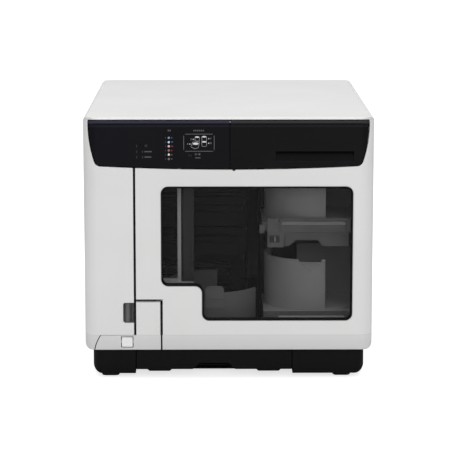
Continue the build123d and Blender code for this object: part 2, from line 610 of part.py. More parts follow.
def make_stacker_shelf():
    x0, x1, y0, y1 = 43.9, 177.8, -224.5, -88.0
    top, band_low = UPPER_CUP_Z, 194.0
    plate = block(x0, x1, y0 + 4, y1, top - 3, top)
    # bevelled nose with slanted ends over an upright band, and the kerb in front of the cup
    lip = side_prism(polygon((y0, band_low), (y0, top - 2.8), (y0 + 3.6, top + 0.8), (y0 + 6.4, top + 0.8),
                             (y0 + 6.4, band_low)), 68.7, 153.4)
    for x, turn in ((68.7, 1), (153.4, -1)):
        lip -= front_prism(polygon((x - turn, top + 2), (x + 3 * turn, top + 2), (x - turn, top - 4)), y0 - 1, y0 + 7)
    lip += block(66.6, 157.8, y0 + 4.4, y0 + 6.4, top - 1, top + 5.4)
    # brackets at both ends, and the badge that hangs from the left one
    lip += block(51, 65.3, y0 + 0.6, y0 + 6.4, band_low, top + 5.4) + block(65, 69, y0 + 2, y0 + 6, band_low, top)
    lip += block(154.2, 160.3, y0 + 0.6, y0 + 6.4, band_low, top + 5.0) + block(153, 155, y0 + 2, y0 + 6, band_low, top)
    lip += block(40.5, 47, y0 + 3, y0 + 8, 192.5, 203) + block(44.5, 52, y0 + 5, y0 + 8, 196, top)
    badge = block(51, 72.6, y0 + 1, y0 + 5, 174, band_low + 1)
    # the apron under the band, its bright strip and tab, and the arched skirt
    apron = block(69, 157.7, y0 + 3, y0 + 6, band_low - 6, band_low + 1)
    apron += front_prism(polygon((86.7, 193.6), (124, 193.6), (121, 190.4), (90, 190.4)), y0 + 1.6, y0 + 4)
    apron += block(139, 148.5, y0 + 1.2, y0 + 4, 188, band_low + 1)
    skirt = block(73.3, 157.7, y0 + 5, y0 + 7.5, 175, band_low)
    arch = polygon((78, 174), (88.3, 183), (116.8, 183), (124.8, 174))
    arch = fillet(arch.vertices().group_by(Axis.Y)[-1], 3)
    skirt -= front_prism(arch, y0 + 4, y0 + 9)
    shelf = plate + lip + badge + apron + skirt
    # gussets back to the wall of the bay
    for x in (96.0, 150.0):
        web = polygon((y1 - 6, top), (-44.0, top), (-44.0, top - 26), (y1 - 6, top - 3))
        shelf += side_prism(web, x, x + 2.5)
    shelf -= rod_z(RIGHT_X, DISC_Y, 170, 300, DISC_R + 0.5)
    return shelf - rod_z(ARM_X, ARM_Y, 100, 300, 33)


def make_bay_rail():
    """A bent plate: the ledge over the left of the bay and the bright upright flange on it."""
    ledge = block(-FRAME_X, -45.7, -221, -192, 126.2, 128)
    flange = block(-67.0, -62.2, -219, -217.5, 128, UPPER_DECK_Z)
    web = block(-67.0, -65.5, -219, -192, 128, UPPER_DECK_Z)
    lip = block(-88, -67.0, -221, -219.5, 128, 132)
    return ledge + flange + web + lip


def make_bay_duct():
    """The round-fronted upright channel that carries the wiring up the bay."""
    duct = block(-61.9, -45.7, -218, -192, 128, UPPER_DECK_Z)
    duct = fillet(duct.edges().filter_by(Axis.Z).group_by(Axis.Y)[0], 4)
    duct -= block(-60, -47.6, -214, -190, 130, UPPER_DECK_Z + 1)
    return duct + block(-48.9, -45.7, -220, -215, 128, UPPER_DECK_Z)


def make_bay_wall():
    wall = block(62, FRAME_X - 0.2, -44, -44 + SHEET, DECK_Z + 2 * SHEET, UPPER_DECK_Z)
    wall += block(62, 62 + SHEET, -56, -43, DECK_Z + 9, UPPER_DECK_Z)
    for z in (100, 230):
        wall -= rod_y(120, -50, -30, z, 12)
    return wall


def side_frame(sign):
    """A pressed side plate with turned flanges and lightening windows."""
    x0, x1 = sorted((sign * FRAME_X, sign * (FRAME_X + SHEET)))
    f0, f1 = sorted((sign * FRAME_X, sign * (FRAME_X - 9)))
    plate = block(x0, x1, FRAME_FRONT, FRAME_BACK, DECK_Z + SHEET, FRAME_TOP)
    for y, z, length, height in ((60, 110, 150, 60), (60, 240, 150, 50), (-130, 320, 90, 24)):
        hole = Pos(y, z) * RectangleRounded(length, height, 10)
        plate -= side_prism(hole, x0 - 1, x1 + 1)
    plate += block(f0, f1, FRAME_FRONT + 140, FRAME_BACK, FRAME_TOP - SHEET, FRAME_TOP)
    return plate + block(f0, f1, -60, FRAME_BACK, DECK_Z + SHEET, DECK_Z + 2 * SHEET)


def make_right_frame():
    frame = side_frame(1)
    for z0, z1 in HINGE_EARS:
        ear = block(FRAME_X, HINGE_X, HINGE_Y - 3, HINGE_Y + 3, z0, z1)
        ear += rod_z(HINGE_X, HINGE_Y, z0, z1, 3.2)
        ear += block(FRAME_X, FRAME_X + SHEET, HINGE_Y - 3, FRAME_FRONT, z0 - 5, z1 + 5)
        frame += ear - rod_z(HINGE_X, HINGE_Y, z0 - 1, z1 + 1, HINGE_PIN_R)
    return frame


def make_deck_plate():
    deck = block(-FRAME_X, FRAME_X, -222, 232, DECK_Z, DECK_Z + SHEET)
    deck -= rod_z(LEFT_X, DISC_Y, 0, 100, DISC_R + 0.5)
    deck -= block(26, 67, -98, -18, 0, 100)
    deck -= block(50, 86, -44.5, -14, 0, 100)
    for x in (-140, 140):
        for y in (0, 90, 180):
            deck -= rod_z(x, y, 0, 100, 8)
    return deck


def make_upper_deck():
    deck = block(-FRAME_X + 0.1, FRAME_X - 0.1, FRAME_FRONT, FRAME_BACK, UPPER_DECK_Z, UPPER_DECK_Z + SHEET)
    for y in (-100, 40, 130):
        deck -= soft_block(-150, -60, y, y + 50, 200, 400, 8)
    deck -= rod_z(120, 120, 200, 400, 30)
    return deck


# ---- drives and printer ---------------------------------------------------------------------------
UNIT_LEFT, UNIT_RIGHT = UNIT_X - UNIT_HALF, UNIT_X + UNIT_HALF
REST_Y = SERVED_Y + TRAY_TRAVEL


def make_drive_cage():
    cage = Part()
    for x in (UNIT_LEFT - 2.0, UNIT_RIGHT + 0.5):
        side = block(x, x + SHEET, -35, 135, DECK_Z + SHEET, UPPER_DECK_Z)
        side -= side_prism(Pos(60, 88) * RectangleRounded(120, 50, 8), x - 1, x + 3)
        cage += side
    floor = block(UNIT_LEFT - 1, UNIT_RIGHT + 1, -35, 135, DRIVE_2_Z - 2, DRIVE_2_Z - 0.5)
    floor -= rod_z(UNIT_X, 50, 0, 200, 40)
    return cage + floor


def make_drive_case(z):
    case = block(UNIT_LEFT, UNIT_RIGHT, UNIT_FACE + 3, UNIT_FACE + 3 + DRIVE_DEPTH, z, z + DRIVE_HEIGHT)
    case -= block(UNIT_LEFT + 1.2, UNIT_RIGHT - 1.2, UNIT_FACE, UNIT_FACE + 1.8 + DRIVE_DEPTH,
                  z + 1.2, z + DRIVE_HEIGHT - 1.2)
    hub = rod_z(UNIT_X, REST_Y, z + 1, z + 14, 14)
    rails = block(UNIT_LEFT + 1, UNIT_LEFT + 14, -30, 110, z + 17, z + 22.8)
    rails += block(UNIT_RIGHT - 14, UNIT_RIGHT - 1, -30, 110, z + 17, z + 22.8)
    return case + hub + rails


def make_drive_bezels():
    bezels = []
    for z in (DRIVE_2_Z, DRIVE_1_Z):
        face = block(UNIT_LEFT, UNIT_RIGHT, UNIT_FACE, UNIT_FACE + 2.8, z, z + DRIVE_HEIGHT)
        face = chamfer(face.edges().group_by(Axis.Y)[0], 0.8)
        face -= block(UNIT_LEFT + 6, UNIT_RIGHT - 6, UNIT_FACE - 1, UNIT_FACE + 4, z + 19.5, z + 31)
        bezels.append(face)
    return Compound(children=bezels)


def disc_tray(z, depth, thick=4.6):
    """A sliding disc tray: fascia, plate, round recess and the slot under the disc."""
    x0, x1 = UNIT_LEFT + 9, UNIT_RIGHT - 9
    plate = soft_block(x0, x1, UNIT_FACE, UNIT_FACE + depth, z, z + thick, 4)
    plate -= rod_z(UNIT_X, REST_Y, z + thick - 1.6, z + thick + 1, DISC_R + 0.6)
    plate -= rod_z(UNIT_X, REST_Y, z + thick - 2.6, z + thick + 1, 41)
    plate -= soft_block(UNIT_X - 21, UNIT_X + 21, REST_Y - 21, REST_Y + 58, z - 1, z + thick + 1, 20)
    fascia = block(x0 - 1.5, x1 + 1.5, UNIT_FACE - 2.6, UNIT_FACE - 0.2, z - 2, z + thick + 2)
    fascia = chamfer(fascia.edges().group_by(Axis.Y)[0], 0.6)
    return plate + fascia + block(x0 + 4, x1 - 4, UNIT_FACE - 0.5, UNIT_FACE + 5, z, z + thick)


def make_printer_frame():
    x0, x1, back = UNIT_LEFT, UNIT_RIGHT, 130.0
    frame = block(x0, x1, UNIT_FACE, back, PRINTER_Z, PRINTER_TOP)
    frame -= block(x0 + 2, x1 - 2, UNIT_FACE + 2, back - 2, PRINTER_Z + 2, PRINTER_TOP + 1)
    frame -= block(x0 + 6, x1 - 6, UNIT_FACE - 1, UNIT_FACE + 3, PRINTER_Z + 5, PRINTER_Z + 16)
    for i in range(5):
        frame -= block(x0 + 14, x1 - 14, UNIT_FACE - 1, UNIT_FACE + 3, 240 + 8 * i, 243 + 8 * i)
    for x in (x0 + 1, x1 - 14):
        frame += block(x, x + 13, -30, 110, PRINTER_Z + 1, PRINTER_Z + 7.8)
    # platen rollers' bridge over the tray
    frame += block(x0 + 1, x1 - 1, 74, 80, 234, 246)
    return frame


RAIL_Y, RAIL_Z, RAIL_R = 28.0, 264.0, 4.0
CARRIAGE_X = (-20.0, 22.0)


def make_carriage_rail():
    return rod_x(UNIT_LEFT + 2, UNIT_RIGHT - 2, RAIL_Y, RAIL_Z, RAIL_R)


def make_print_carriage():
    x0, x1 = CARRIAGE_X
    carriage = block(x0, x1, -12, 52, 236, 271)
    carriage = fillet(carriage.edges().filter_by(Axis.Z), 3)
    carriage -= block(x0 + 3, x1 - 3, -9, 18, 246, 272)
    head = block(x0 + 8, x1 - 8, 8, 40, 231.5, 237)
    carriage += head
    return carriage - rod_x(x0 - 1, x1 + 1, RAIL_Y, RAIL_Z, RAIL_R + FIT)


# ---- disc arm --------------------------------------------------------------------------------------
COLUMN_R, GUIDE_R, GUIDE_Y = 6.0, 3.0, -49.0
LIFT_Z = (258.0, 282.0)
BELT_Y, BELT_LOW, BELT_HIGH, PULLEY_R, BELT_T = -30.0, 36.0, 281.0, 6.0, 1.2
ARM_DIRECTION = degrees(atan2(DISC_Y - ARM_Y, LEFT_X - ARM_X))


def make_arm_columns():
    column = rod_z(ARM_X, ARM_Y, 9, UPPER_DECK_Z, COLUMN_R)
    guide = rod_z(ARM_X, GUIDE_Y, DECK_Z + 7, UPPER_DECK_Z, GUIDE_R)
    # the foot that bridges the slot in the deck and holds the guide rod
    foot = block(20, 73, GUIDE_Y - 5, GUIDE_Y + 3.6, DECK_Z + SHEET, DECK_Z + 7)
    foot -= block(32, 61, GUIDE_Y - 6, GUIDE_Y - 4, DECK_Z, DECK_Z + 8)
    return Compound(children=[column, guide, foot])


def make_arm_carriage():
    low, high = LIFT_Z
    sleeve = rod_z(ARM_X, ARM_Y, low, high, 12.5)
    bridge = block(ARM_X - 6, ARM_X + 6, ARM_Y + 6, GUIDE_Y + 6, low + 6, high - 2)
    clamp = block(ARM_X - 5, ARM_X + 4.5, GUIDE_Y + 5, BELT_Y - 4.4, low + 4, high - 10)
    front_run = BELT_Y - PULLEY_R - BELT_T - 0.05
    clamp -= block(ARM_X - 3.5, ARM_X + 6, front_run - 0.35, front_run + BELT_T + 0.35, low, high)
    body = sleeve + bridge + clamp
    body -= rod_z(ARM_X, ARM_Y, low - 1, high + 1, COLUMN_R + FIT)
    return body - rod_z(ARM_X, GUIDE_Y, low - 1, high + 1, GUIDE_R + FIT)


def along_arm(part):
    """Turns a part drawn along +X from the column to the resting direction of the arm."""
    return turned(part, ARM_X, ARM_Y, ARM_DIRECTION)


def make_disc_arm():
    low, high = 283.2, 288.8
    tip = ARM_X + ARM_REACH
    hub = rod_z(ARM_X, ARM_Y, low - 0.6, high, 12.5)
    outline = polygon((ARM_X, ARM_Y - 10), (tip, ARM_Y - 7), (tip, ARM_Y + 7), (ARM_X, ARM_Y + 10))
    link = plan_prism(outline, low, high)
    link -= plan_prism(Pos(ARM_X + 52, ARM_Y) * SlotOverall(50, 9), low + 1.6, high + 1)
    head = rod_z(tip, ARM_Y, 281.6, high, 11.5)
    arm = along_arm(hub + link + head - rod_z(tip, ARM_Y, 270, high - 1.6, 8.6))
    return arm - rod_z(ARM_X, ARM_Y, low - 2, high + 1, COLUMN_R + FIT)


def make_gripper_jaw(side):
    """Half of the expanding plug that grips a disc by its centre hole."""
    tip = ARM_X + ARM_REACH
    low = 277.4
    jaw = rod_z(tip, ARM_Y, low, 287.2, 6.4) + rod_z(tip, ARM_Y, low, low + 1.4, 6.9)
    if side > 0:
        jaw = jaw & block(tip - 10, tip + 10, ARM_Y + 0.3, ARM_Y + 10, 270, 290)
    else:
        jaw = jaw & block(tip - 10, tip + 10, ARM_Y - 10, ARM_Y - 0.3, 270, 290)
    return along_arm(jaw)


def belt_loop(radius):
    ends = [rod_x(ARM_X - 3, ARM_X + 3, BELT_Y, z, radius) for z in (BELT_LOW, BELT_HIGH)]
    return ends[0] + ends[1] + block(ARM_X - 3, ARM_X + 3, BELT_Y - radius, BELT_Y + radius, BELT_LOW, BELT_HIGH)


def make_lift_belt():
    return belt_loop(PULLEY_R + 0.05 + BELT_T) - belt_loop(PULLEY_R + 0.05)


def pulley(z, shaft_end):
    """A flanged belt wheel on its own shaft."""
    wheel = rod_x(ARM_X - 3.6, ARM_X + 3.6, BELT_Y, z, PULLEY_R)
    for x in (ARM_X - 4.8, ARM_X + 3.6):
        wheel += rod_x(x, x + 1.2, BELT_Y, z, PULLEY_R + 2.2)
    wheel -= Pos(ARM_X - 3, BELT_Y + 3.9, z) * Box(8, 1.2, 1.2)
    return wheel + rod_x(ARM_X - 4.8, shaft_end, BELT_Y, z, 2.0)


def make_lift_motor():
    x0 = ARM_X + 6.5
    body = block(x0 + 1.5, x0 + 30, BELT_Y - 12, BELT_Y + 12, BELT_LOW - 12, BELT_LOW + 12)
    body = chamfer(body.edges().filter_by(Axis.X), 3)
    bracket = block(x0, x0 + 1.5, BELT_Y - 11, -6, BELT_LOW - 11, BELT_LOW + 14) - block(0, 90, -15, 0, 0, DECK_Z + SHEET)
    foot = block(x0, x0 + 30, BELT_Y + 8, -6, DECK_Z + SHEET, DECK_Z + 2 * SHEET)
    motor = body + bracket + foot
    return motor - rod_x(x0 - 1, x0 + 14, BELT_Y, BELT_LOW, 2.0 + FIT)


def make_idler_bracket():
    x0 = ARM_X + 6.5
    arm = block(x0, x0 + 3, BELT_Y - 9, BELT_Y + 9, BELT_HIGH - 6, UPPER_DECK_Z)
    arm += block(x0, x0 + 16, BELT_Y - 9, BELT_Y + 9, UPPER_DECK_Z - 2, UPPER_DECK_Z)
    return arm - rod_x(x0 - 1, x0 + 5, BELT_Y, BELT_HIGH, 2.0 + FIT)


# ---- electrics and cooling ---------------------------------------------------------------------
FAN_X, FAN_Z, FAN_Y = 90.0, 200.0, (218.0, 242.0)


def make_fan_frame():
    y0, y1 = FAN_Y
    frame = Pos(FAN_X, (y0 + y1) / 2, FAN_Z) * Box(80, y1 - y0, 80)
    frame = fillet(frame.edges().filter_by(Axis.Y), 5)
    frame -= rod_y(FAN_X, y0 - 1, y1 + 1, FAN_Z, 37.5)
    hub = rod_y(FAN_X, y1 - 4, y1, FAN_Z, 15)
    for k in range(4):
        strut = Pos(FAN_X, y1 - 1.5, FAN_Z) * Rot(0, 45 + 90 * k, 0) * Pos(25, 0, 0) * Box(30, 3, 4)
        hub += strut
    for dx in (-36, 36):
        for dz in (-36, 36):
            frame -= rod_y(FAN_X + dx, y0 - 1, y1 + 1, FAN_Z + dz, 2.1)
    post = rod_y(FAN_X, y0 + 6, y1 - 3, FAN_Z, 2.0)
    return frame + hub + post


def make_fan_rotor():
    y0, y1 = FAN_Y[0] + 3, FAN_Y[1] - 5
    rotor = rod_y(FAN_X, y0, y1, FAN_Z, 15.5)
    for k in range(7):
        blade = Pos(25, 0, 0) * Rot(38, 0, 0) * Box(22, 15, 1.6)
        rotor += Pos(FAN_X, (y0 + y1) / 2, FAN_Z) * Rot(0, 360 / 7 * k, 0) * blade
    return rotor - rod_y(FAN_X, y0 + 2, y1 + 1, FAN_Z, 2.0 + FIT)


def make_power_inlet():
    inlet = block(-144, -116, 224, BACK - 0.2, 62, 84)
    socket = Pos(-130, 73) * fillet(Rectangle(23, 15).vertices().group_by(Axis.Y)[-1], 4)
    inlet -= front_prism(socket, BACK - 15, BACK + 1)
    for dx in (-7, 0, 7):
        inlet += block(-131.2 + dx, -128.8 + dx, BACK - 16, BACK - 4, 68.5, 73.5)
    return inlet


def make_usb_port():
    port = block(-75, -61, 228, BACK - 0.2, 66, 78)
    port -= block(-73.4, -62.6, BACK - 11, BACK + 1, 67.6, 76.4)
    return port + block(-71, -65, BACK - 12, BACK - 2, 70.6, 73.4)


def make_power_supply():
    x0, x1, y0, y1, z0, z1 = -112, 20, 30, 200, DECK_Z + SHEET, 116
    case = block(x0, x1, y0, y1, z0, z1)
    case -= block(x0 + 1.5, x1 - 1.5, y0 + 1.5, y1 - 1.5, z0 + 1.5, z1 - 1.5)
    for row in range(7):
        case -= block(x0 + 14, x1 - 14, y0 - 1, y0 + 3, 56 + 8 * row, 60 + 8 * row)
        case -= block(x0 + 14, x1 - 14, y1 - 3, y1 + 1, 56 + 8 * row, 60 + 8 * row)
    return case


def make_main_board():
    board = block(168, 169.6, -20, 200, 60, 280)
    for y in (-10, 190):
        for z in (70, 270):
            board += rod_x(169.6, FRAME_X, y, z, 3)
    for y, z, length, height, rise in ((60, 170, 40, 40, 6), (140, 170, 30, 30, 3), (20, 250, 60, 14, 9),
                                       (120, 90, 90, 14, 12), (30, 100, 24, 24, 8)):
        board += block(168 - rise, 168, y, y + length, z - height / 2, z + height / 2)
    return board


# ---- all the pieces ----------------------------------------------------------------------------
PARTS["base_pan"] = make_base_pan()
PARTS["feet"] = make_feet()
PARTS["deck_plate"] = make_deck_plate()
PARTS["left_frame"] = side_frame(-1)
PARTS["right_frame"] = make_right_frame()
PARTS["upper_deck"] = make_upper_deck()
PARTS["left_cover"] = make_left_cover()
PARTS["right_cover"] = make_right_cover()
PARTS["top_cover"] = make_top_cover()
PARTS["rear_cover"] = make_rear_cover()
PARTS["control_panel"] = make_control_panel()
PARTS["indicator_lamps"] = make_lamps()
PARTS["power_button"] = make_power_button()
PARTS["mode_button"] = make_mode_button()
PARTS["cartridge_cover"] = make_cartridge_cover()
PARTS["cartridge_cover_pins"] = make_cartridge_cover_pins()
PARTS["cartridge_bay"] = make_cartridge_bay()
PARTS["ink_cartridges"] = make_ink_cartridges()
PARTS["disc_cover"] = make_disc_cover()
PARTS["door_window"] = make_door_window()
PARTS["door_inner_frame"] = make_door_inner_frame()
PARTS["door_hinge_pins"] = make_door_hinge_pins()
PARTS["output_tray"] = make_output_tray()
PARTS["tray_handle_cover"] = make_tray_handle_cover()
PARTS["tray_release"] = make_tray_release()
PARTS["lock_lever"] = make_lock_lever()
PARTS["stacker_1"] = make_right_cup(UPPER_CUP_Z)
PARTS["stacker_2"] = make_right_cup(LOWER_CUP_Z)
PARTS["stacker_3"] = make_stacker_3()
PARTS["stacker_base"] = make_stacker_base()
PARTS["stacker_shelf"] = make_stacker_shelf()
PARTS["bay_rail"] = make_bay_rail()
PARTS["bay_duct"] = make_bay_duct()
PARTS["bay_wall"] = make_bay_wall()
PARTS["drive_cage"] = make_drive_cage()
PARTS["drive_1_case"] = make_drive_case(DRIVE_1_Z)
PARTS["drive_2_case"] = make_drive_case(DRIVE_2_Z)
PARTS["drive_1_tray"] = disc_tray(DRIVE_1_Z + 23, 168)
PARTS["drive_2_tray"] = disc_tray(DRIVE_2_Z + 23, 168)
PARTS["drive_bezels"] = make_drive_bezels()
PARTS["printer_frame"] = make_printer_frame()
PARTS["printer_tray"] = disc_tray(PRINTER_Z + 8, 168)
PARTS["carriage_rail"] = make_carriage_rail()
PARTS["print_carriage"] = make_print_carriage()
PARTS["arm_columns"] = make_arm_columns()
PARTS["arm_carriage"] = make_arm_carriage()
PARTS["disc_arm"] = make_disc_arm()
PARTS["gripper_jaw_left"] = make_gripper_jaw(1)
PARTS["gripper_jaw_right"] = make_gripper_jaw(-1)
PARTS["lift_belt"] = make_lift_belt()
PARTS["lift_pulley"] = pulley(BELT_LOW, ARM_X + 18)
PARTS["lift_idler"] = pulley(BELT_HIGH, ARM_X + 9.5)
PARTS["lift_motor"] = make_lift_motor()
PARTS["idler_bracket"] = make_idler_bracket()
PARTS["fan_frame"] = make_fan_frame()
PARTS["fan_rotor"] = make_fan_rotor()
PARTS["power_inlet"] = make_power_inlet()
PARTS["usb_port"] = make_usb_port()
PARTS["power_supply"] = make_power_supply()
PARTS["main_board"] = make_main_board()

for name, shape in PARTS.items():
    export_step(shape, f"parts/{name}.step")
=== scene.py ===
"""Looks of a desktop disc label printer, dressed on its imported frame.

Blender works in metres; places on the front are given in millimetres, x to the right and z up.
"""
from math import cos, pi, radians, sin

import bmesh
import bpy
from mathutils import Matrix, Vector


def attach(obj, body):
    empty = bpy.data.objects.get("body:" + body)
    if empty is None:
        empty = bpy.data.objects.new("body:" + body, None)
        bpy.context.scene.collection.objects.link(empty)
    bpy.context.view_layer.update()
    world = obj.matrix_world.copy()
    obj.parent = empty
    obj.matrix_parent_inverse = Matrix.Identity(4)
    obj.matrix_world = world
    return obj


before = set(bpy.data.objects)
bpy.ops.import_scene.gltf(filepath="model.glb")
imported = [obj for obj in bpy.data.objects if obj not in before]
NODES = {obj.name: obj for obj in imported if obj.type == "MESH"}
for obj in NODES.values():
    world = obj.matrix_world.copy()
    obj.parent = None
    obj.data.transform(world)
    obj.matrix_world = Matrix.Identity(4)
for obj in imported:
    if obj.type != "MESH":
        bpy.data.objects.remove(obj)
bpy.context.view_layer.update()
MM = 0.001

# ---- camera --------------------------------------------------------------------
CAMERA_AT = (-0.01705, -2.8802, 0.655)
CAMERA_DOWN, CAMERA_TURN = 9.7478, -0.3793     # degrees
CAMERA_LENS, SENSOR = 161.91, 36.0


def make_camera():
    data = bpy.data.cameras.new("camera")
    data.sensor_width, data.lens = SENSOR, CAMERA_LENS
    data.clip_start, data.clip_end = 0.1, 100
    camera = bpy.data.objects.new("camera", data)
    camera.location = CAMERA_AT
    camera.rotation_euler = (radians(90 - CAMERA_DOWN), 0, radians(CAMERA_TURN))
    bpy.context.scene.collection.objects.link(camera)
    bpy.context.scene.camera = camera


# ---- materials ------------------------------------------------------------------
def grey(value):
    return (value, value, value, 1)


class Shader:
    """A Principled material whose colour, gloss and surface come from a few noise patterns."""

    def __init__(self, name, roughness=0.5, metallic=0.0, specular=0.5):
        self.material = bpy.data.materials.new(name)
        self.material.use_nodes = True
        self.nodes, self.links = self.material.node_tree.nodes, self.material.node_tree.links
        self.bsdf = self.nodes["Principled BSDF"]
        self.set("Roughness", roughness)
        self.set("Metallic", metallic)
        self.set("Specular IOR Level", specular)
        self.place = self.nodes.new("ShaderNodeTexCoord").outputs["Object"]

    def set(self, socket, value):
        self.bsdf.inputs[socket].default_value = value

    def stretched(self, scale):
        """Object coordinates scaled apart along x, y and z, for brushed and drawn surfaces."""
        mapping = self.nodes.new("ShaderNodeMapping")
        mapping.inputs["Scale"].default_value = scale
        self.links.new(self.place, mapping.inputs["Vector"])
        return mapping.outputs["Vector"]

    def noise(self, per_metre, detail=3.0, vector=None):
        node = self.nodes.new("ShaderNodeTexNoise")
        node.inputs["Scale"].default_value = per_metre
        node.inputs["Detail"].default_value = detail
        self.links.new(vector or self.place, node.inputs["Vector"])
        return node.outputs["Fac"]

    def ramp(self, factor, stops):
        node = self.nodes.new("ShaderNodeValToRGB")
        points = node.color_ramp.elements
        while len(points) < len(stops):
            points.new(0.5)
        for point, (at, colour) in zip(points, stops):
            point.position, point.color = at, colour
        self.links.new(factor, node.inputs["Fac"])
        return node.outputs["Color"]

    def along(self, axis, low, high, stops):
        """Colour that changes along one axis of the object, between two places in metres."""
        split = self.nodes.new("ShaderNodeSeparateXYZ")
        self.links.new(self.place, split.inputs["Vector"])
        reach = self.nodes.new("ShaderNodeMapRange")
        reach.inputs["From Min"].default_value, reach.inputs["From Max"].default_value = low, high
        self.links.new(split.outputs[axis], reach.inputs["Value"])
        return self.ramp(reach.outputs["Result"], stops)

    def blend(self, kind, first, second):
        node = self.nodes.new("ShaderNodeMix")
        node.data_type, node.blend_type = "RGBA", kind
        node.inputs["Factor"].default_value = 1.0
        self.links.new(first, node.inputs["A"])
        self.links.new(second, node.inputs["B"])
        self.links.new(node.outputs["Result"], self.bsdf.inputs["Base Color"])

    def multiply(self, first, second):
        self.blend("MULTIPLY", first, second)

    def mottle(self, dark, light, per_metre=14, detail=3.0, vector=None):
        """Base colour that drifts between two near shades."""
        colour = self.ramp(self.noise(per_metre, detail, vector), [(0.35, dark), (0.65, light)])
        self.links.new(colour, self.bsdf.inputs["Base Color"])
        return self

    def gloss(self, low, high, per_metre=60, vector=None):
        node = self.nodes.new("ShaderNodeMapRange")
        node.inputs["To Min"].default_value, node.inputs["To Max"].default_value = low, high
        self.links.new(self.noise(per_metre, 4.0, vector), node.inputs["Value"])
        self.links.new(node.outputs["Result"], self.bsdf.inputs["Roughness"])
        return self

    def soft_edges(self, radius, normal):
        bevel = self.nodes.new("ShaderNodeBevel")
        bevel.samples = 4
        bevel.inputs["Radius"].default_value = radius
        self.links.new(bevel.outputs["Normal"], normal)

    def grain(self, per_metre, height, edge=0.0, vector=None):
        """Fine moulded texture, over edges that are softened by a small radius in metres."""
        bump = self.nodes.new("ShaderNodeBump")
        bump.inputs["Distance"].default_value = height
        self.links.new(self.noise(per_metre, 2.0, vector), bump.inputs["Height"])
        if edge:
            self.soft_edges(edge, bump.inputs["Normal"])
        self.links.new(bump.outputs["Normal"], self.bsdf.inputs["Normal"])
        return self


SILL_LOW, SILL_HIGH = 0.040, 0.065      # the front's sill, from under its lower edge to over its crease
# painted shade for the sill: darker towards its lower edge where it leans back, a darker painted line at the
# crease, plain white above
SILL_PAINTED_SHADE = [(0.0, grey(0.78)), (0.12, grey(0.86)), (0.84, grey(0.925)), (0.87, grey(0.86)),
               (0.90, grey(1.0))]
# the tray release: brighter white over most of it, with a painted shade band along its upper part
RELEASE_TONE_AND_SHADE = [(0.0, grey(1.16)), (0.74, grey(1.16)), (0.77, grey(0.8))]


def white_plastic(name="white_cover", tone_and_painted_shade=SILL_PAINTED_SHADE):
    """Satin white moulding, with painted shade on the sill that leans back under the crease: darker towards
    the sill's lower edge, and a painted dark line at the crease.
    """
    shader = Shader(name, specular=0.4)
    drift = shader.ramp(shader.noise(9), [(0.35, (0.775, 0.775, 0.770, 1)), (0.65, (0.800, 0.800, 0.796, 1))])
    # painted shade along the sill; on the tray release, its brighter white with a painted shade band
    sill = shader.along("Z", SILL_LOW, SILL_HIGH, tone_and_painted_shade)
    shader.multiply(drift, sill)
    return shader.gloss(0.46, 0.56).grain(1900, 0.00005, 0.0008).material


BEAD_LOW, BEAD_HIGH = 0.334, 0.346      # the upper edge of the band, with its groove and bead


def band_plastic(name, tint):
    """Black gloss of the band with painted highlight: a dull bead along its upper edge painted paler, a
    groove, a fine line painted pale, then the plain face.
    """
    shader = Shader(name, specular=0.12)

    def shade(value):
        return tuple(value * t for t in tint) + (1,)

    # painted highlight: a pale strip on the bead and a fainter pale line below the groove, added to the black
    # where light from above would catch
    lines = shader.along("Z", BEAD_LOW, BEAD_HIGH, [
        (0.0, shade(0.0)), (0.10, shade(0.0)), (0.16, shade(0.006)), (0.30, shade(0.006)), (0.36, shade(0.0)),
        (0.45, shade(0.0)), (0.53, shade(0.030)), (1.0, shade(0.036))])
    shader.blend("ADD", shader.ramp(shader.noise(8), [(0.35, shade(0.0028)), (0.65, shade(0.0038))]), lines)
    return shader.gloss(0.22, 0.3, 30).grain(900, 0.00001, 0.0004).material


def black_plastic(name="black_plastic", value=0.0045, specular=0.2, roughness=(0.42, 0.55)):
    shader = Shader(name, specular=specular)
    shader.mottle(grey(value * 0.85), grey(value * 1.15), 20)
    return shader.gloss(*roughness).grain(2200, 0.00005, 0.0004).material


def grey_plastic(name, value, specular=0.3, roughness=(0.4, 0.5), painted_top_light=1.0):
    """Smooth grey moulding or painted sheet, with painted light: faces that look up are made paler by the
    factor painted_top_light.
    """
    shader = Shader(name, specular=specular)
    shader.gloss(*roughness)
    drift = shader.ramp(shader.noise(16), [(0.35, grey(value * 0.95)), (0.65, grey(value * 1.05))])
    facing = shader.nodes.new("ShaderNodeSeparateXYZ")
    geometry = shader.nodes.new("ShaderNodeNewGeometry")
    shader.links.new(geometry.outputs["True Normal"], facing.inputs["Vector"])
    # painted light: faces that look up are paler, as if lit from above
    pale = shader.ramp(facing.outputs["Z"], [(0.25, grey(1.0)), (0.6, grey(painted_top_light))])
    shader.multiply(drift, pale)
    shader.soft_edges(0.0005, shader.bsdf.inputs["Normal"])
    return shader.material


def sheet_metal(name, value, roughness=(0.35, 0.5), metallic=1.0, stretch=(6, 6, 160)):
    """Sheet whose rolling direction shows as faint streaks."""
    shader = Shader(name, metallic=metallic)
    along = shader.stretched(stretch)
    shader.mottle(grey(value * 0.88), grey(value * 1.1), 5, 4.0, along)
    return shader.gloss(*roughness, 6, along).grain(8, 0.00003, 0.0003, along).material


LEVER_LEFT, LEVER_RIGHT = -0.1370, -0.1240


